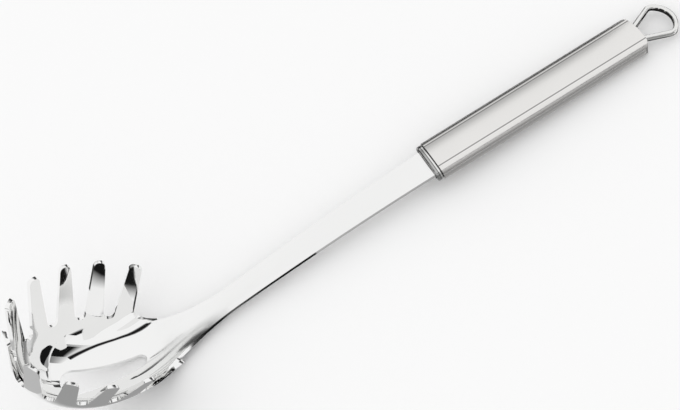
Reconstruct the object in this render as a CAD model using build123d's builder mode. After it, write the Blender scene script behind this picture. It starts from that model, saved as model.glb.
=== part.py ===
"""Pasta server: a stamped steel head with eleven tines on a long stem, and a hollow steel handle.

The tool lies on a table as it is put down, touching at the heel of the bowl and under the
rear of the handle. +X runs from the bowl towards the hanging loop, +Z is up, the table is Z = 0.
All lengths are in millimetres and all angles in degrees.
"""
import os
from math import asin, atan2, cos, degrees, hypot, radians, sin, sqrt, tan

from build123d import *

# Sheet of the head and stem
sheet = 1.5

# Long profile of the head, seen from the side, on the upper face of the sheet
floor_radius = 54.0
heel_reach = 148.0
heel_drop = 13.2
bowl_tilt = 39.6
front_radius = 29.6
front_foot = 29.8
front_flare = 13.5
neck_slope = 9.4

# Bowl across its width, and its walls
side_radius = 22.6
side_flare = 22.7
rear_flare = 10.9
floor_land = 2.2
floor_rings = 7

# Tines
tines_each_side = 5
tine_pitch = 12.75
gap_height = 15.6
rear_rim_height = 17.9
tip_height = 40.5
gap_root_radius = 2.5
gap_spread = 7.0
tip_round = 2.2

# Drain slot in the floor, placed from the lowest point of the bowl in its own tilt
slot_front = 6.8
slot_rear = 30.7
slot_front_radius = 6.5
slot_rear_radius = 3.1

# Neck and stem: where the neck leaves the bowl, half widths and the height of the raised edges
neck_reach = 33.8
neck_end = 105.0
neck_ease = 2.0
waist_half_width = 5.8
stem_half_width = 7.3
stem_edge_lift = 0.15
tang_length = 14.0

# Handle shell
shell_length = 99.5
shell_half_width = 10.4
crease_half_width = 6.3
crease_height = 3.8
face_crown = 0.6
shell_wall = 0.8

# Front collar
collar_length = 2.4
collar_inset = 0.45
collar_groove = 0.5
collar_rim = 1.3
collar_edge = 0.5
collar_recess = 1.5
collar_skirt = 8.0
stem_clearance = 0.1
bore_clearance = 0.05

# End cap
cap_length = 7.3
cap_corner = 4.5
cap_bow = 0.8
cap_skirt = 6.0
cap_face = 4.0

# Hanging loop
wire_width = 2.0
wire_height = 3.0
wire_edge = 0.5
loop_root_half_gap = 2.6
loop_corner_reach = 12.0
loop_corner_half_gap = 8.2
loop_bow = 4.2
loop_corner_round = 1.6
leg_depth = 2.5
socket_clearance = 0.05

# Extra reach of every cut past what it cuts
overrun = 5.0


# Resting pose

# The heel circle of the bowl and the underside of the handle's rear end touch the table.
handle_end = shell_length + cap_length
shell_half_height = crease_height + face_crown
centre_rise = floor_radius - heel_drop
contact_reach = heel_reach + handle_end
contact_drop = centre_rise + shell_half_height
contact_span = hypot(contact_reach, contact_drop)
rest_tilt = degrees(asin((floor_radius + sheet) / contact_span) - atan2(contact_drop, contact_reach))
handle_rise = handle_end * sin(radians(rest_tilt)) + shell_half_height * cos(radians(rest_tilt))

# Reach of the bowl ahead of the handle's front face, and of the loop behind it
front_centre = front_foot - front_radius * cos(radians(front_flare))
front_turn = asin(front_centre / (floor_radius - front_radius))
front_centre_height = floor_radius - (floor_radius - front_radius) * cos(front_turn)
bowl_turn = radians(bowl_tilt)
bowl_lowest_reach = heel_reach + floor_radius * sin(bowl_turn)
bowl_front = (
    bowl_lowest_reach
    + front_centre * cos(bowl_turn)
    - front_centre_height * sin(bowl_turn)
    + front_radius
    + sheet
)
loop_end = handle_end + loop_corner_reach + loop_bow + wire_width
handle_start = (bowl_front - loop_end) / 2


def tilted_plane(origin, tilt):
    """A plane whose X axis runs rearwards, turned down by the tilt, and whose Z axis leans with it."""
    turn = radians(tilt)
    return Plane(origin=origin, x_dir=(cos(turn), 0, -sin(turn)), z_dir=(sin(turn), 0, cos(turn)))


# The handle's frame: its front face is at X = 0 and its axis at Z = 0
handle_plane = tilted_plane((handle_start, 0, handle_rise), rest_tilt)


def on_handle(x, y, z):
    """A point given in the handle's frame."""
    return handle_plane.from_local_coords(Vector(x, y, z))


# The bowl's frame: its origin is on the floor where the floor runs level with the rim
bowl_plane = tilted_plane(
    on_handle(
        -heel_reach - floor_radius * sin(bowl_turn),
        0,
        centre_rise - floor_radius * cos(bowl_turn),
    ),
    bowl_tilt + rest_tilt,
)


# Form of the bowl, with its straight walls from just above the rear rim upwards

wall_foot = rear_rim_height + sheet


def reach_of_arc(radius, height, skin):
    """Reach of a round floor of this radius at a height above its lowest point."""
    return sqrt((radius + skin) ** 2 - (radius - height) ** 2)


def side_reach(height, skin):
    """Half width of the bowl: a round floor that runs out into straight flared walls."""
    lean = radians(side_flare)
    foot_height = side_radius - (side_radius + skin) * sin(lean)
    if height <= foot_height:
        return reach_of_arc(side_radius, height, skin)
    return (side_radius + skin) * cos(lean) + (height - foot_height) * tan(lean)


def front_reach(height, skin):
    """Reach of the bowl to the front: the floor, a tighter curve, then a flared wall."""
    lean = radians(front_flare)
    curve_start = floor_radius - (floor_radius + skin) * cos(front_turn)
    curve_end = front_centre_height - (front_radius + skin) * sin(lean)
    if height <= curve_start:
        return reach_of_arc(floor_radius, height, skin)
    if height <= curve_end:
        below = front_centre_height - height
        return front_centre + sqrt((front_radius + skin) ** 2 - below**2)
    return front_centre + (front_radius + skin) * cos(lean) + (height - curve_end) * tan(lean)


def rear_reach(height, skin):
    """Reach of the bowl to the rear: the floor up to the walls, then a flared wall."""
    arc_height = min(height, wall_foot)
    return reach_of_arc(floor_radius, arc_height, skin) + (height - arc_height) * tan(radians(rear_flare))


def bowl_ring(height, skin):
    """Long half length, half width and centre of the oval that the bowl makes at a height."""
    front = front_reach(height, skin)
    rear = rear_reach(height, skin)
    return (front + rear) / 2, side_reach(height, skin), (rear - front) / 2


def bowl_oval(height, skin):
    """The oval of the bowl at a height, as a face across it."""
    half_length, half_width, centre = bowl_ring(height, skin)
    with BuildSketch(bowl_plane.offset(height)) as oval:
        with Locations((centre, 0)):
            Ellipse(half_length, half_width, rotation=180)
    return oval.sketch.face()


def floor_ovals(skin):
    """Ovals of the floor up to the foot of the walls, evenly spaced up its side."""
    radius = side_radius + skin
    first_turn = floor_land / radius
    full_turn = asin((side_radius - wall_foot) / radius)
    turn_step = (radians(90) - full_turn - first_turn) / (floor_rings - 1)
    turns = [first_turn + count * turn_step for count in range(floor_rings)]
    return [bowl_oval(side_radius - radius * cos(turn), skin) for turn in turns]


# Rim line of the bowl at the bottoms of the gaps, run from the front round one side
rim_half_length, rim_half_width, rim_centre = bowl_ring(gap_height, sheet / 2)
with BuildLine() as rim_line:
    EllipticalCenterArc((rim_centre, 0), rim_half_length, rim_half_width, 180, arc_size=-180)
rim_edge = rim_line.edge()


def rim_plane(distance):
    """A plane that stands across the wall at a distance along the rim from the front."""
    place = rim_edge.position_at(distance, position_mode=PositionMode.LENGTH)
    along = rim_edge.tangent_at(distance, position_mode=PositionMode.LENGTH)
    origin = bowl_plane.from_local_coords(Vector(place.X, place.Y, gap_height))
    ahead = bowl_plane.from_local_coords(Vector(place.X + along.X, place.Y + along.Y, gap_height))
    forward = ahead - origin
    return Plane(origin=origin, x_dir=forward, z_dir=forward.cross(bowl_plane.z_dir))


gap_rise = tip_height - gap_height
wall_run = gap_rise * tan(radians(side_flare)) + sheet
rear_cut_length = 2 * rim_half_width
rear_cut_depth = 2 * wall_run


def gap_outline(rear_run):
    """Outline of one gap: a round root, sides that open upwards and corners that round the tips.

    With a rear run the gap has no rear side, and its floor runs on along the rear rim instead.
    """
    lean = radians(gap_spread)
    floor_rise = rear_rim_height - gap_height if rear_run else 0
    floor_shift = floor_rise * tan(lean)
    root_x = gap_root_radius * cos(lean)
    root_y = gap_root_radius * (1 - sin(lean))
    round_x = root_x + (gap_rise - tip_round - root_y) * tan(lean) + tip_round / cos(lean)
    side_top_x = round_x - tip_round * cos(lean)
    side_top_y = gap_rise - tip_round * (1 - sin(lean))
    half_lean = (radians(90) + lean) / 2 - lean
    bend_x = round_x - tip_round * cos(half_lean)
    bend_y = gap_rise - tip_round * (1 - sin(half_lean))
    top = gap_rise + overrun
    with BuildSketch() as outline:
        with BuildLine():
            Polyline((-round_x, gap_rise), (-round_x, top), (rear_run or round_x, top))
            ThreePointArc((-round_x, gap_rise), (-bend_x, bend_y), (-side_top_x, side_top_y))
            Line((-side_top_x, side_top_y), (-root_x - floor_shift, root_y + floor_rise))
            if rear_run:
                root_side = (-root_x - floor_shift, root_y + floor_rise)
                RadiusArc(root_side, (-floor_shift, floor_rise), -gap_root_radius)
                Polyline((-floor_shift, floor_rise), (rear_run, floor_rise), (rear_run, top))
            else:
                ThreePointArc((-root_x, root_y), (0, 0), (root_x, root_y))
                Line((root_x, root_y), (side_top_x, side_top_y))
                ThreePointArc((side_top_x, side_top_y), (bend_x, bend_y), (round_x, gap_rise))
                Line((round_x, gap_rise), (round_x, top))
        make_face()
    return outline.sketch


# Long profile of the neck and stem in the handle's frame

exit_turn = radians(neck_slope)
stem_start_x = -heel_reach + floor_radius * sin(exit_turn)
stem_start_z = centre_rise - floor_radius * cos(exit_turn)
stem_chord_turn = atan2(sheet / 2 - stem_start_z, -stem_start_x)
stem_end_turn = 2 * stem_chord_turn - exit_turn
stem_radius = -stem_start_x / (sin(exit_turn) - sin(stem_end_turn))


# Where the neck leaves the bowl: across the floor, through the rim on both sides
neck_turn = atan2(neck_reach, floor_radius - rear_rim_height)
neck_start_x = -heel_reach - floor_radius * sin(bowl_turn - neck_turn)
neck_edge_lift = floor_radius - hypot(neck_reach, floor_radius - rear_rim_height)
rim_long, rim_wide, rim_middle = bowl_ring(rear_rim_height, 0)
neck_share = (neck_reach - rim_middle) / rim_long
neck_half_width = rim_wide * sqrt(1 - neck_share**2)


def strip_station(x):
    """Height and slope of the strip's upper face at a place along the handle's axis."""
    if x < stem_start_x:
        turn = asin((x + heel_reach) / floor_radius)
        return centre_rise - floor_radius * cos(turn), turn
    turn = asin(sin(exit_turn) - (x - stem_start_x) / stem_radius)
    return stem_start_z + stem_radius * (cos(turn) - cos(exit_turn)), turn


def strip_size(x):
    """Half width of the strip and the height of its raised edges at the same place."""
    half_width = stem_half_width + (waist_half_width - stem_half_width) * x / -neck_end
    share = max(0, (-neck_end - x) / (-neck_end - neck_start_x)) ** neck_ease
    edge_lift = stem_edge_lift + (neck_edge_lift - stem_edge_lift) * share
    return half_width + (neck_half_width - half_width) * share, edge_lift


def strip_plane(x):
    """A plane across the strip: X to the side, Y up, its origin on the strip's upper face."""
    z, turn = strip_station(x)
    along = on_handle(cos(turn), 0, sin(turn)) - on_handle(0, 0, 0)
    return Plane(origin=on_handle(x, 0, z), x_dir=(0, 1, 0), z_dir=along)


def strip_section(x):
    """One cross-section of the strip: a shallow trough of even thickness with raised edges."""
    half_width, edge_lift = strip_size(x)
    trough_radius = (half_width**2 + edge_lift**2) / (2 * edge_lift)
    lean = asin(half_width / trough_radius)
    outer_half_width = half_width + sheet * sin(lean)
    outer_lift = edge_lift - sheet * cos(lean)
    with BuildSketch(strip_plane(x)) as section:
        with BuildLine():
            ThreePointArc((-half_width, edge_lift), (0, 0), (half_width, edge_lift))
            Line((half_width, edge_lift), (outer_half_width, outer_lift))
            ThreePointArc((outer_half_width, outer_lift), (0, -sheet), (-outer_half_width, outer_lift))
            Line((-outer_half_width, outer_lift), (-half_width, edge_lift))
        make_face()
    return section.sketch.face()


station_shares = (0.25, 0.5, 0.75, 1)


def strip_run(start, end):
    """Evenly spaced cross-sections of the strip that lead from one place along it to another."""
    return [strip_section(start + share * (end - start)) for share in station_shares]


# Server blank: bowl, tines, neck, stem and tang, pressed from one sheet

with BuildPart() as server_blank:
    loft(floor_ovals(sheet))
    loft([bowl_oval(wall_foot, sheet), bowl_oval(tip_height, sheet)], ruled=True)
    loft(floor_ovals(0), mode=Mode.SUBTRACT)
    loft([bowl_oval(wall_foot, 0), bowl_oval(tip_height, 0)], ruled=True, mode=Mode.SUBTRACT)

    # Ten gaps between the eleven tines, and the wall behind the last pair cut down to the rim
    for count in range(tines_each_side + 1):
        last = count == tines_each_side
        with BuildSketch(rim_plane((count + 0.5) * tine_pitch)):
            add(gap_outline(rear_cut_length if last else 0))
        gap = extrude(amount=rear_cut_depth if last else wall_run, both=True, mode=Mode.PRIVATE)
        add(gap, mode=Mode.SUBTRACT)
        add(mirror(gap, about=Plane.XZ, mode=Mode.PRIVATE), mode=Mode.SUBTRACT)

    # Drain slot, wide at the front and narrow at the rear
    with BuildSketch(bowl_plane.offset(-sheet - overrun)):
        with Locations((slot_front_radius - slot_front, 0)):
            Circle(slot_front_radius)
        with Locations((slot_rear - slot_rear_radius, 0)):
            Circle(slot_rear_radius)
        make_hull()
    extrude(amount=sheet + overrun + gap_height, mode=Mode.SUBTRACT)

    # The bowl ends where the neck takes over, up to the rim and not above it
    low_radius = floor_radius + sheet + overrun
    low_reach = low_radius * sin(neck_turn)
    low_height = floor_radius - low_radius * cos(neck_turn)
    far_reach = neck_reach + rim_half_length
    with BuildSketch(Plane(origin=bowl_plane.origin, x_dir=bowl_plane.x_dir, z_dir=(0, -1, 0))):
        with BuildLine():
            Polyline(
                (low_reach, low_height),
                (neck_reach, rear_rim_height),
                (far_reach, rear_rim_height),
                (far_reach, low_height),
                close=True,
            )
        make_face()
    extrude(amount=rim_half_width, both=True, mode=Mode.SUBTRACT)
    cut_middle = strip_plane(neck_start_x).from_local_coords(Vector(0, -sheet / 2))
    cut_face = server_blank.faces().sort_by_distance(cut_middle)[0]
    inner_edge, outer_edge = cut_face.edges().sort_by(SortBy.LENGTH)[-2:]
    right_edge = Edge.make_line(inner_edge @ 0, outer_edge @ 1)
    left_edge = Edge.make_line(inner_edge @ 1, outer_edge @ 0)
    neck_face = Face(Wire([inner_edge, right_edge, outer_edge, left_edge]))

    # Neck and stem
    loft([neck_face] + strip_run(neck_start_x, -neck_end))
    loft([strip_section(-neck_end)] + strip_run(-neck_end, 0))

    # Tang inside the handle
    with BuildSketch(Plane(origin=handle_plane.origin, x_dir=(0, 1, 0), z_dir=handle_plane.x_dir)):
        Rectangle(2 * stem_half_width, sheet)
    extrude(amount=tang_length)
server_blank.part.label = "server_blank"


# Handle

def across_handle(x):
    """A plane across the handle at a distance behind its front face, with its Y axis up."""
    return Plane(origin=on_handle(x, 0, 0), x_dir=(0, 1, 0), z_dir=handle_plane.x_dir)


def handle_outline(inset):
    """Flat oval of the handle: crowned faces, a crease each side and rounded flanks."""
    crease_right = (crease_half_width, crease_height)
    crease_left = (-crease_half_width, crease_height)
    under_right = (crease_half_width, -crease_height)
    under_left = (-crease_half_width, -crease_height)
    with BuildSketch() as outline:
        with BuildLine():
            ThreePointArc(crease_left, (0, shell_half_height), crease_right)
            ThreePointArc(crease_right, (shell_half_width, 0), under_right)
            ThreePointArc(under_right, (0, -shell_half_height), under_left)
            ThreePointArc(under_left, (-shell_half_width, 0), crease_left)
        make_face()
        if inset:
            offset(amount=-inset, kind=Kind.INTERSECTION, mode=Mode.REPLACE)
    return outline.sketch


with BuildPart() as handle_shell:
    with BuildSketch(across_handle(0)):
        add(handle_outline(0))
    extrude(amount=shell_length)
    with BuildSketch(across_handle(0)):
        add(handle_outline(shell_wall))
    extrude(amount=shell_length, mode=Mode.SUBTRACT)
handle_shell.part.label = "handle_shell"

plug_inset = shell_wall + bore_clearance

with BuildPart() as front_collar:
    # Ring in front of the shell that narrows at its front edge, and a narrow groove behind it
    with BuildSketch(across_handle(-collar_groove)):
        add(handle_outline(collar_inset))
    extrude(amount=collar_edge - collar_length)
    with BuildSketch(across_handle(collar_edge - collar_length - collar_groove)):
        add(handle_outline(collar_inset))
    with BuildSketch(across_handle(-collar_length - collar_groove)):
        add(handle_outline(collar_inset + collar_edge))
    loft(ruled=True)
    # Skirt inside the shell
    with BuildSketch(across_handle(-collar_groove)):
        add(handle_outline(plug_inset))
    extrude(amount=collar_groove + collar_skirt)
    # Recess in front, and the hollow behind the plate
    with BuildSketch(across_handle(-collar_groove - collar_length)):
        add(handle_outline(collar_inset + collar_rim))
    extrude(amount=collar_recess, mode=Mode.SUBTRACT)
    with BuildSketch(across_handle(-collar_groove)):
        add(handle_outline(plug_inset + shell_wall))
    extrude(amount=collar_groove + collar_skirt, mode=Mode.SUBTRACT)
    # Slot that the stem passes through
    slot_half_height = sheet / 2 + stem_edge_lift + stem_clearance
    slot_depth = collar_groove + collar_length
    with BuildSketch(across_handle(-slot_depth)):
        Rectangle(2 * (stem_half_width + stem_clearance), 2 * slot_half_height)
    extrude(amount=slot_depth, mode=Mode.SUBTRACT)
front_collar.part.label = "front_collar"


# Hanging loop

loop_plane = Plane(origin=on_handle(handle_end, 0, 0), x_dir=handle_plane.x_dir, z_dir=handle_plane.z_dir)
wire_axis = Axis(loop_plane.origin, loop_plane.z_dir)
leg_slope = (loop_corner_half_gap - loop_root_half_gap) / loop_corner_reach
inner_root = loop_root_half_gap - leg_slope * (leg_depth + wire_width)


def loop_outline(extra):
    """Outline of the loop's eye, grown by an extra all round."""
    back = -leg_depth - wire_width
    upper_corner = (loop_corner_reach, loop_corner_half_gap)
    lower_corner = (loop_corner_reach, -loop_corner_half_gap)
    with BuildSketch() as outline:
        with BuildLine():
            Polyline(lower_corner, (back, -inner_root), (back, inner_root), upper_corner)
            ThreePointArc(upper_corner, (loop_corner_reach + loop_bow, 0), lower_corner)
        make_face()
        fillet(outline.vertices().sort_by(Axis.X)[-2:], loop_corner_round)
        if extra:
            offset(amount=extra, mode=Mode.REPLACE)
    return outline.sketch


with BuildPart() as hanging_loop:
    with BuildSketch(loop_plane):
        add(loop_outline(wire_width))
        add(loop_outline(0), mode=Mode.SUBTRACT)
    extrude(amount=wire_height / 2, both=True)
    chamfer(hanging_loop.faces().sort_by(wire_axis)[0].edges(), wire_edge)
    chamfer(hanging_loop.faces().sort_by(wire_axis)[-1].edges(), wire_edge)
    split(bisect_by=across_handle(handle_end - leg_depth), keep=Keep.TOP)
hanging_loop.part.label = "hanging_loop"

# End cap

with BuildPart() as end_cap:
    # Closed end, rounded in plan, with the same section as the shell
    with BuildSketch(loop_plane):
        with BuildLine():
            Polyline(
                (-cap_bow, shell_half_width),
                (-cap_length, shell_half_width),
                (-cap_length, -shell_half_width),
                (-cap_bow, -shell_half_width),
            )
            ThreePointArc((-cap_bow, -shell_half_width), (0, 0), (-cap_bow, shell_half_width))
        cap_plan = make_face()
        fillet(cap_plan.vertices().sort_by(Axis.X)[-2:], cap_corner)
    extrude(amount=shell_half_height, both=True)
    with BuildSketch(across_handle(shell_length)):
        add(handle_outline(0))
    extrude(amount=cap_length, mode=Mode.INTERSECT)
    # Skirt inside the shell, and the hollow of the cap
    with BuildSketch(across_handle(shell_length - cap_skirt)):
        add(handle_outline(plug_inset))
    extrude(amount=cap_skirt)
    with BuildSketch(across_handle(shell_length - cap_skirt)):
        add(handle_outline(plug_inset + shell_wall))
    extrude(amount=cap_skirt + cap_length - cap_face, mode=Mode.SUBTRACT)
    # Sockets for the legs of the loop
    with BuildSketch(loop_plane):
        add(loop_outline(wire_width + socket_clearance))
        add(loop_outline(-socket_clearance), mode=Mode.SUBTRACT)
        with Locations((-leg_depth - socket_clearance, 0)):
            Rectangle(cap_length, 2 * shell_half_width, align=(Align.MIN, Align.CENTER), mode=Mode.INTERSECT)
    extrude(amount=wire_height / 2 + socket_clearance, both=True, mode=Mode.SUBTRACT)
end_cap.part.label = "end_cap"

os.makedirs("parts", exist_ok=True)
export_step(server_blank.part, "parts/server_blank.step")
export_step(handle_shell.part, "parts/handle_shell.step")
export_step(front_collar.part, "parts/front_collar.step")
export_step(hanging_loop.part, "parts/hanging_loop.step")
export_step(end_cap.part, "parts/end_cap.step")
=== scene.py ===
"""Looks of the pasta server: polished steel head, brushed hollow handle, pale floor and soft light."""
import bpy
import math
import numpy as np
from mathutils import Matrix, Vector
from mathutils.kdtree import KDTree


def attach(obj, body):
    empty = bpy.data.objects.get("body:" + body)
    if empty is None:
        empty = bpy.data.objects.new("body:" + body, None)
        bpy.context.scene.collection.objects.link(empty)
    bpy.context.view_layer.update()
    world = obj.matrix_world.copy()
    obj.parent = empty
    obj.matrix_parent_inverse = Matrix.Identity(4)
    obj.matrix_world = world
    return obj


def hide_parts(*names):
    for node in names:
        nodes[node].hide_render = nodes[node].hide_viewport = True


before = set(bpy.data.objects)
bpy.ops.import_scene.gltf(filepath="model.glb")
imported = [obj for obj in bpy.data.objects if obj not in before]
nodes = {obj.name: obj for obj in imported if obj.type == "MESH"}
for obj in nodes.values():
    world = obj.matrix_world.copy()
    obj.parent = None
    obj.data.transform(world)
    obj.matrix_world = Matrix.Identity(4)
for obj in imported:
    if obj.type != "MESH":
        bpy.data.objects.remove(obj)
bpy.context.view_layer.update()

# Handle: the middle of its front face in metres, and its directions back, aside and up
handle_front = (0.0352119, 0, 0.0087292)
handle_directions = ((0.999177, 0, -0.04057), (0, 1, 0), (0.04057, 0, 0.999177))

# Crease along each side of the handle, where a line of shade is painted, and where the end cap starts, in
# millimetres along the handle
crease_side = 6.3
crease_level = 3.8
crease_half_height = 0.25
cap_start = 101.0

# Painted shade on the collar, in millimetres along the handle: groove behind the ring, line round the ring, rim and
# recess
groove_start = -0.53
line_place = 1.45
line_half_width = 0.16
rim_end = -1.6
recess_back = -2.86
recess_side = 6.6
recess_radius = 3.1

# Bowl's wear fades out from the middle to the sides: share lost per metre, and share at the middle
worn_loss = -200.0
worn_middle = 2.6


# Materials

def material(name):
    """A new material with an empty node tree but for its shader and output."""
    made = bpy.data.materials.new(name)
    made.use_nodes = True
    tree = made.node_tree
    shader = tree.nodes["Principled BSDF"]
    return made, tree, shader


def add(tree, kind, **values):
    """Adds a node and sets its inputs and properties by name."""
    node = tree.nodes.new(kind)
    for key, value in values.items():
        if key in node.inputs:
            node.inputs[key].default_value = value
        else:
            setattr(node, key, value)
    return node


def smeared(tree, place, tone, rough):
    """Base colour and roughness that vary in faint smears."""
    link = tree.links.new
    shader = tree.nodes["Principled BSDF"]
    smear = add(tree, "ShaderNodeTexNoise", Scale=38.0, Detail=4.0, Roughness=0.6)
    link(place.outputs["Object"], smear.inputs["Vector"])
    spread = add(tree, "ShaderNodeMapRange")
    spread.inputs["From Min"].default_value = 0.3
    spread.inputs["From Max"].default_value = 0.75
    spread.inputs["To Min"].default_value = rough * 0.6
    spread.inputs["To Max"].default_value = rough * 1.8
    link(smear.outputs["Fac"], spread.inputs["Value"])
    link(spread.outputs["Result"], shader.inputs["Roughness"])
    tint = add(tree, "ShaderNodeValToRGB")
    tint.color_ramp.elements[0].color = (*[c * 0.96 for c in tone], 1)
    tint.color_ramp.elements[1].color = (*tone, 1)
    link(smear.outputs["Fac"], tint.inputs["Fac"])
    return tint.outputs["Color"]


def polished_steel(name, tone, rough, wave, bevel=0.0, shade_paint=None, worn=None):
    """Polished steel: faint smears and a very slight ripple, with duller wear and painted shade in hollows if
    asked.
    """
    made, tree, shader = material(name)
    link = tree.links.new
    shader.inputs["Metallic"].default_value = 1.0
    place = add(tree, "ShaderNodeTexCoord")
    color = smeared(tree, place, tone, rough)
    if worn:
        split = add(tree, "ShaderNodeSeparateXYZ")
        link(place.outputs["Object"], split.inputs["Vector"])
        duller = add(tree, "ShaderNodeMapRange", interpolation_type="SMOOTHSTEP")
        for socket, value in (("From Min", worn[0]), ("From Max", worn[1]), ("To Max", worn[2])):
            duller.inputs[socket].default_value = value
        link(split.outputs["X"], duller.inputs["Value"])
        aside = calc(tree, "MULTIPLY_ADD", calc(tree, "ABSOLUTE", split.outputs["Y"]), worn_loss, worn_middle)
        aside = calc(tree, "MINIMUM", calc(tree, "MAXIMUM", aside, 0.0), 1.0)
        smooth = shader.inputs["Roughness"].links[0].from_socket
        link(calc(tree, "MULTIPLY_ADD", duller.outputs["Result"], aside, smooth), shader.inputs["Roughness"])
    # Painted shade: the colour is darkened by a given mask, such as the collar's groove and recess
    if shade_paint:
        dimmed = add(tree, "ShaderNodeMix", data_type="RGBA", blend_type="MULTIPLY")
        dimmed.inputs[0].default_value = 1.0
        link(color, dimmed.inputs[6])
        link(shade_paint(tree, place), dimmed.inputs[7])
        color = dimmed.outputs[2]
    link(color, shader.inputs["Base Color"])
    ripple = add(tree, "ShaderNodeTexNoise", Scale=22.0, Detail=1.0)
    link(place.outputs["Object"], ripple.inputs["Vector"])
    bump = add(tree, "ShaderNodeBump", Strength=wave, Distance=0.0004)
    link(ripple.outputs["Fac"], bump.inputs["Height"])
    if bevel:
        edge = add(tree, "ShaderNodeBevel", samples=6, Radius=bevel)
        link(edge.outputs["Normal"], bump.inputs["Normal"])
    link(bump.outputs["Normal"], shader.inputs["Normal"])
    return made


def calc(tree, operation, first, second=None, third=None):
    """One step of sums on sockets or numbers."""
    node = add(tree, "ShaderNodeMath", operation=operation)
    for socket, value in zip(node.inputs, (first, second, third)):
        if isinstance(value, (int, float)):
            socket.default_value = value
        elif value is not None:
            tree.links.new(value, socket)
    return node.outputs["Value"]


def along_handle(tree, place):
    """Distances behind the handle's front face, out to the side and up from its axis, in millimetres."""
    found = []
    for axis in handle_directions:
        offset = add(tree, "ShaderNodeVectorMath", operation="SUBTRACT")
        offset.inputs[1].default_value = handle_front
        tree.links.new(place.outputs["Object"], offset.inputs[0])
        dot = add(tree, "ShaderNodeVectorMath", operation="DOT_PRODUCT")
        dot.inputs[1].default_value = axis
        tree.links.new(offset.outputs["Vector"], dot.inputs[0])
        found.append(calc(tree, "MULTIPLY", dot.outputs["Value"], 1000.0))
    return found


def collar_painted_shade(tree, place):
    """Painted shade: dark in the groove behind the collar's ring and in a line round it, dim on the rim and in the
    recess with the plate.
    """
    x, y, h = along_handle(tree, place)
    groove = calc(tree, "GREATER_THAN", x, groove_start)
    from_line = calc(tree, "ABSOLUTE", calc(tree, "ADD", x, line_place))
    line = calc(tree, "LESS_THAN", from_line, line_half_width)
    rim = calc(tree, "LESS_THAN", x, rim_end)
    out = calc(tree, "SUBTRACT", calc(tree, "ABSOLUTE", y), recess_side)
    out = calc(tree, "MAXIMUM", out, 0.0)
    away = calc(tree, "SQRT", calc(tree, "ADD", calc(tree, "MULTIPLY", out, out), calc(tree, "MULTIPLY", h, h)))
    within = calc(tree, "LESS_THAN", away, recess_radius)
    inside = calc(tree, "MULTIPLY", within, calc(tree, "GREATER_THAN", x, recess_back))
    dim = calc(tree, "MAXIMUM", calc(tree, "MULTIPLY", groove, 0.93), calc(tree, "MULTIPLY", inside, 0.6))
    dim = calc(tree, "MAXIMUM", dim, calc(tree, "MULTIPLY", line, 0.85))
    dim = calc(tree, "MAXIMUM", dim, calc(tree, "MULTIPLY", rim, 0.4))
    left = calc(tree, "SUBTRACT", 1.0, dim)
    joined = add(tree, "ShaderNodeCombineColor")
    for socket in joined.inputs:
        if socket.name in ("Red", "Green", "Blue"):
            tree.links.new(left, socket)
    return joined.outputs["Color"]


def brushed_steel(name, tone):
    """Satin steel with a fine grain that runs along the handle and a line of painted shade in each crease."""
    made, tree, shader = material(name)
    link = tree.links.new
    shader.inputs["Metallic"].default_value = 1.0
    place = add(tree, "ShaderNodeTexCoord")
    x, y, h = along_handle(tree, place)
    stretch = add(tree, "ShaderNodeMapping")
    stretch.inputs["Scale"].default_value = (0.02, 1.0, 1.0)
    link(place.outputs["Object"], stretch.inputs["Vector"])
    grain = add(tree, "ShaderNodeTexNoise", Scale=3600.0, Detail=3.0, Roughness=0.7)
    link(stretch.outputs["Vector"], grain.inputs["Vector"])
    cloud = add(tree, "ShaderNodeTexNoise", Scale=60.0, Detail=3.0)
    link(place.outputs["Object"], cloud.inputs["Vector"])
    spread = add(tree, "ShaderNodeMapRange")
    spread.inputs["To Min"].default_value = 0.14
    spread.inputs["To Max"].default_value = 0.3
    link(grain.outputs["Fac"], spread.inputs["Value"])
    link(spread.outputs["Result"], shader.inputs["Roughness"])
    tint = add(tree, "ShaderNodeValToRGB")
    tint.color_ramp.elements[0].color = (*[c * 0.93 for c in tone], 1)
    tint.color_ramp.elements[1].color = (*tone, 1)
    mixed = calc(tree, "MULTIPLY_ADD", grain.outputs["Fac"], 0.5, calc(tree, "MULTIPLY", cloud.outputs["Fac"], 0.5))
    link(mixed, tint.inputs["Fac"])
    # Painted shade: a dark line along each crease, where the top face meets the side
    gap = calc(tree, "ABSOLUTE", calc(tree, "SUBTRACT", calc(tree, "ABSOLUTE", y), crease_side))
    near = calc(tree, "MAXIMUM", calc(tree, "SUBTRACT", 1.0, calc(tree, "MULTIPLY", gap, 2.6)), 0.0)
    level = calc(tree, "ABSOLUTE", calc(tree, "SUBTRACT", calc(tree, "ABSOLUTE", h), crease_level))
    crease_shade = calc(tree, "MULTIPLY", near, calc(tree, "LESS_THAN", level, crease_half_height))
    crease_shade = calc(tree, "MULTIPLY", crease_shade, 0.9)
    left = calc(tree, "SUBTRACT", 1.0, crease_shade)
    dimmed = add(tree, "ShaderNodeVectorMath", operation="SCALE")
    link(tint.outputs["Color"], dimmed.inputs[0])
    link(left, dimmed.inputs["Scale"])
    link(dimmed.outputs["Vector"], shader.inputs["Base Color"])
    bump = add(tree, "ShaderNodeBump", Strength=0.2, Distance=0.00004)
    link(grain.outputs["Fac"], bump.inputs["Height"])
    edge = add(tree, "ShaderNodeBevel", samples=6, Radius=0.0005)
    plain = add(tree, "ShaderNodeNewGeometry")
    rear = add(tree, "ShaderNodeMix", data_type="VECTOR")
    link(calc(tree, "GREATER_THAN", x, cap_start), rear.inputs[0])
    link(plain.outputs["Normal"], rear.inputs[4])
    link(edge.outputs["Normal"], rear.inputs[5])
    link(rear.outputs[1], bump.inputs["Normal"])
    link(bump.outputs["Normal"], shader.inputs["Normal"])
    return made


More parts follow.
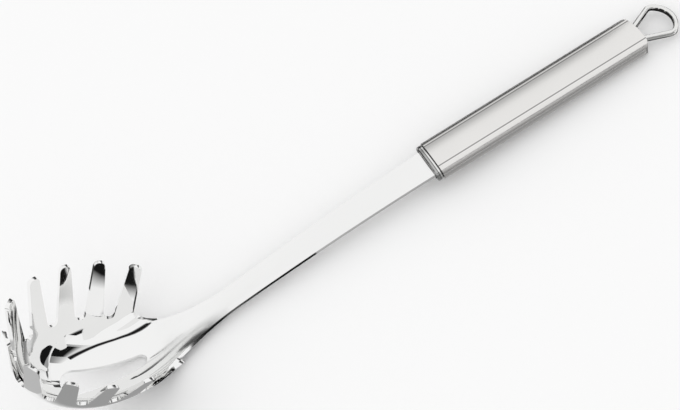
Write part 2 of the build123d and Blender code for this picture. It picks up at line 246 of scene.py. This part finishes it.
polished = polished_steel("polished_steel", (0.9, 0.9, 0.895), 0.03, 0.02, worn=(-0.119, -0.104, 0.14))
# The collar's fittings carry painted shade in the groove, the line round the ring, the rim and the recess
fittings = polished_steel("polished_fittings", (0.80, 0.80, 0.79), 0.08, 0.04, 0.0003, collar_painted_shade)
loop_look = polished_steel("polished_wire", (0.80, 0.80, 0.79), 0.08, 0.04, 0.0003)
brushed = brushed_steel("brushed_steel", (0.82, 0.81, 0.795))
for node, look in (("server_blank", polished), ("handle_shell", brushed), ("end_cap", brushed),
                   ("front_collar", fittings), ("hanging_loop", loop_look)):
    nodes[node].data.materials.clear()
    nodes[node].data.materials.append(look)


# Pieces: the same surfaces with evenly running normals, so that the polish mirrors smoothly

def read_mesh(node):
    """Points of a node in the part's frame with doubles joined, its triangles and their normals."""
    mesh = nodes[node].data
    mesh.calc_loop_triangles()
    points = np.empty(3 * len(mesh.vertices))
    mesh.vertices.foreach_get("co", points)
    world = np.array(nodes[node].matrix_world)
    points = points.reshape(-1, 3) @ world[:3, :3].T + world[:3, 3]
    corners = np.empty(3 * len(mesh.loop_triangles), int)
    mesh.loop_triangles.foreach_get("vertices", corners)
    points, place = np.unique(np.round(points, 6), axis=0, return_inverse=True)
    triangles = place.ravel()[corners].reshape(-1, 3)
    a, b, c = (points[triangles[:, k]] for k in range(3))
    across = np.cross(b - a, c - a)
    area = np.linalg.norm(across, axis=1)
    keep = area > 1e-13
    return points, triangles[keep], (across / np.maximum(area, 1e-20)[:, None])[keep], area[keep]


def smooth_groups(triangles, facing, limit):
    """Numbers the triangles by the smooth surface they lie on: neighbours that meet at less than a limit."""
    parent = list(range(len(triangles)))

    def root(k):
        while parent[k] != k:
            parent[k] = parent[parent[k]]
            k = parent[k]
        return k

    owners = {}
    least = math.cos(math.radians(limit))
    for k, (a, b, c) in enumerate(triangles.tolist()):
        for edge in ((a, b), (b, c), (c, a)):
            edge = (min(edge), max(edge))
            other = owners.setdefault(edge, k)
            if other != k and facing[k] @ facing[other] > least:
                parent[root(k)] = root(other)
    return np.array([root(k) for k in range(len(triangles))])


def even_normals(points, triangles, facing, area, groups, reach):
    """A normal for every corner: from a curved patch fitted to the points of its surface nearby."""
    normals = np.zeros((len(triangles), 3, 3))
    for group in np.unique(groups):
        mine = np.nonzero(groups == group)[0]
        used, place = np.unique(triangles[mine], return_inverse=True)
        place = place.reshape(-1, 3)
        rough = np.zeros((len(used), 3))
        for k in range(3):
            np.add.at(rough, place[:, k], facing[mine] * area[mine, None])
        rough /= np.maximum(np.linalg.norm(rough, axis=1), 1e-20)[:, None]
        fitted = rough.copy()
        if len(used) > 400:
            tree = KDTree(len(used))
            for k, index in enumerate(used):
                tree.insert(points[index], k)
            tree.balance()
            for k, index in enumerate(used):
                near = [found[1] for found in tree.find_n(points[index], 40) if found[2] < reach]
                near = [other for other in near if rough[other] @ rough[k] > 0.5]
                if len(near) < 9:
                    continue
                up = rough[k]
                side = np.cross(up, (1, 0, 0) if abs(up[0]) < 0.7 else (0, 1, 0))
                side /= np.linalg.norm(side)
                ahead = np.cross(up, side)
                away = (points[used[near]] - points[index]) / reach
                x, y, z = away @ side, away @ ahead, away @ up
                weight = np.exp(-2 * (x * x + y * y))
                system = np.stack([x, y, x * x, x * y, y * y, 0 * x + 0.3], 1) * weight[:, None]
                gram = system.T @ system + 1e-4 * np.eye(6)
                slope = np.linalg.solve(gram, system.T @ (z * weight))
                bent = up - slope[0] * side - slope[1] * ahead
                fitted[k] = bent / np.linalg.norm(bent)
        normals[mine] = fitted[place]
    return normals


def smooth_copy(node, look, reach=0.007, limit=32):
    """Stands in for a node with the same points and its own corner normals."""
    points, triangles, facing, area = read_mesh(node)
    groups = smooth_groups(triangles, facing, limit)
    normals = even_normals(points, triangles, facing, area, groups, reach)
    mesh = bpy.data.meshes.new(node + "_look")
    mesh.from_pydata(points.tolist(), [], triangles.tolist())
    mesh.polygons.foreach_set("use_smooth", [True] * len(triangles))
    mesh.normals_split_custom_set(normals.reshape(-1, 3).tolist())
    mesh.materials.append(look)
    piece = bpy.data.objects.new(node + "_look", mesh)
    bpy.context.scene.collection.objects.link(piece)
    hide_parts(node)
    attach(piece, "root")
    return piece


smooth_copy("server_blank", polished)
smooth_copy("front_collar", fittings)
smooth_copy("hanging_loop", loop_look, limit=50)


# Floor, light and camera

def level_floor(name, width, color):
    """A plain square floor at the height of the table."""
    mesh = bpy.data.meshes.new(name)
    w = h = width / 2
    mesh.from_pydata([(-w, -h, 0), (w, -h, 0), (w, h, 0), (-w, h, 0)], [], [(0, 1, 2, 3)])
    card = bpy.data.objects.new(name, mesh)
    bpy.context.scene.collection.objects.link(card)
    made, tree, shader = material(name)
    shader.inputs["Base Color"].default_value = (*color, 1)
    shader.inputs["Roughness"].default_value = 0.8
    shader.inputs["Specular IOR Level"].default_value = 0.0
    mesh.materials.append(made)


level_floor("floor", 6, (0.96, 0.96, 0.96))


# Dark studio cards that only mirrored rays meet. They aren't part of the object: they are placed so that
# the polish shows dark reflections about where the photograph has them.

def flag(name, rows, cover, tone=0.009):
    """A dark sheet from rows of points, with its cover of the light behind it given row by row."""
    count = len(rows[0])
    faces = [(r * count + k, r * count + k + 1, (r + 1) * count + k + 1, (r + 1) * count + k)
             for r in range(len(rows) - 1) for k in range(count - 1)]
    mesh = bpy.data.meshes.new(name)
    mesh.from_pydata([tuple(point) for row in rows for point in row], [], faces)
    mesh.attributes.new("cover", "FLOAT", "POINT")
    mesh.attributes["cover"].data.foreach_set("value", [value for value in cover for _ in range(count)])
    sheet = bpy.data.objects.new(name, mesh)
    bpy.context.scene.collection.objects.link(sheet)
    made, tree, shader = material(name)
    link = tree.links.new
    tree.nodes.remove(shader)
    dark = add(tree, "ShaderNodeEmission", Strength=1.0)
    dark.inputs["Color"].default_value = (tone, tone, tone, 1)
    clear = add(tree, "ShaderNodeBsdfTransparent")
    blend = add(tree, "ShaderNodeMixShader")
    share = add(tree, "ShaderNodeAttribute", attribute_name="cover")
    link(share.outputs["Fac"], blend.inputs["Fac"])
    link(clear.outputs["BSDF"], blend.inputs[1])
    link(dark.outputs["Emission"], blend.inputs[2])
    link(blend.outputs["Shader"], tree.nodes["Material Output"].inputs["Surface"])
    mesh.materials.append(made)
    sheet.visible_camera = False
    sheet.visible_diffuse = False
    sheet.visible_shadow = False


def far_off(azimuth, height, reach=1.3):
    """A point far off in a direction from the bowl, in degrees."""
    a, e = math.radians(azimuth), math.radians(height)
    ahead = Vector((math.cos(e) * math.cos(a), math.cos(e) * math.sin(a), math.sin(e)))
    return Vector((-0.115, 0.01, 0.03)) + reach * ahead


# A long curved card over the camera: direction round and height in degrees, and half width in degrees
band = [(236, 48, 2.6), (244, 51.5, 3.8), (253, 54, 4.2), (262, 55, 3.8), (270, 54.5, 3.2), (279, 52.5, 2.9),
        (288, 50.2, 2.7), (297, 46, 2.8), (306, 40.5, 3.0), (315, 35, 3.2), (325, 28, 3.6), (334, 21, 4.0)]
rows = []
for side in (-1.35, -0.65, 0.65, 1.35):
    row = []
    for k, (a, e, half) in enumerate(band):
        before, after = band[max(k - 1, 0)], band[min(k + 1, len(band) - 1)]
        run = Vector(((after[0] - before[0]) * math.cos(math.radians(e)), after[1] - before[1])).normalized()
        row.append(far_off(a - side * half * run.y / math.cos(math.radians(e)), e + side * half * run.x))
    rows.append(row)
flag("camera_flag", rows, (0, 1, 1, 0))


def low_flag(name, x_range, y_steps, cover, tone, height=0.0006):
    """A level sheet just over the floor, with its cover given from front to back."""
    rows = [[Vector((x, y, height)) for x in x_range] for y in y_steps]
    flag(name, rows, cover, tone=tone)


# Grey and dark sheets on the floor under and beside the part
low_flag("near_shade", (-0.2, 0.155), (-0.07, -0.052, -0.016, 0.0), (0, 1, 1, 0), 0.34)
low_flag("front_shade", (-0.27, -0.2), (-0.07, -0.05, 0.03, 0.05), (0, 0.7, 0.7, 0), 0.34)
low_flag("loop_shade", (0.139, 0.168), (-0.011, -0.009, 0.009, 0.011), (0, 1, 1, 0), 0.02)
low_flag("far_shade", (0.03, 0.15), (0.004, 0.01, 0.045, 0.07), (0, 0.9, 0.9, 0), 0.03)


def standing_flag(name, y, x_range, steps, tone):
    """An upright card along the tool, with its cover given by height."""
    rows = [[Vector((x, y, z)) for x in x_range] for z, _ in steps]
    flag(name, rows, [share for _, share in steps], tone=tone)


far_steps = [(0, 0.95), (0.06, 0.95), (0.09, 0.6), (0.12, 0.3), (0.17, 0)]
near_steps = [(0, 0.8), (0.03, 0.7), (0.07, 0.45), (0.12, 0)]
standing_flag("far_flag", 0.13, (-0.32, 0.2), far_steps, 0.012)
standing_flag("near_grey", -0.095, (-0.05, 0.2), near_steps, 0.05)
standing_flag("corner_flag", -0.09, (-0.045, 0.04), [(0, 1), (0.06, 1), (0.085, 0)], 0.009)
low_flag("corner_shade", (-0.12, -0.03), (-0.06, -0.055, -0.01, -0.004), (0, 1, 1, 0), 0.009, 0.0009)
low_flag("tip_shade", (-0.095, -0.065), (-0.078, -0.074, -0.066, -0.062), (0, 1, 1, 0), 0.009, 0.0009)

# A slanted strip of black card beside the bowl, for the tips of two far tines
strip_y = -0.095
strip_ends = (-0.185, -0.085)
strip_height = 0.040
strip_fall = 0.5
rows = [[Vector((x, strip_y, strip_height - strip_fall * (x + 0.16) + rise)) for x in strip_ends]
        for rise in (-0.004, 0.001, 0.006, 0.018, 0.022)]
flag("tip_flag", rows, (0, 0.5, 1, 1, 0))


world = bpy.data.worlds.new("studio")
bpy.context.scene.world = world
world.use_nodes = True
world.node_tree.nodes["Background"].inputs["Color"].default_value = (1, 1, 1, 1)
world.node_tree.nodes["Background"].inputs["Strength"].default_value = 1.0


# Camera at the photograph's viewing angle: its place in metres, its directions, and its focal length
camera_place = (-0.0098451, -0.2419698, 0.3707868)
focal_pixels = 995
picture_width = 680
sensor_width = 36.0

camera = bpy.data.objects.new("camera", bpy.data.cameras.new("camera"))
bpy.context.scene.collection.objects.link(camera)
right = Vector((0.8380043, -0.4499827, -0.3086494))
down = Vector((-0.5456623, -0.6898061, -0.4758363))
ahead = Vector((0.0012098, 0.5671712, -0.8235990))
camera.matrix_world = Matrix((
    (right.x, -down.x, -ahead.x, camera_place[0]),
    (right.y, -down.y, -ahead.y, camera_place[1]),
    (right.z, -down.z, -ahead.z, camera_place[2]),
    (0, 0, 0, 1),
))
camera.data.sensor_width = sensor_width
camera.data.lens = focal_pixels / picture_width * sensor_width
camera.data.clip_start = 0.01
camera.data.clip_end = 20
bpy.context.scene.camera = camera
bpy.context.scene.view_settings.view_transform = "Standard"
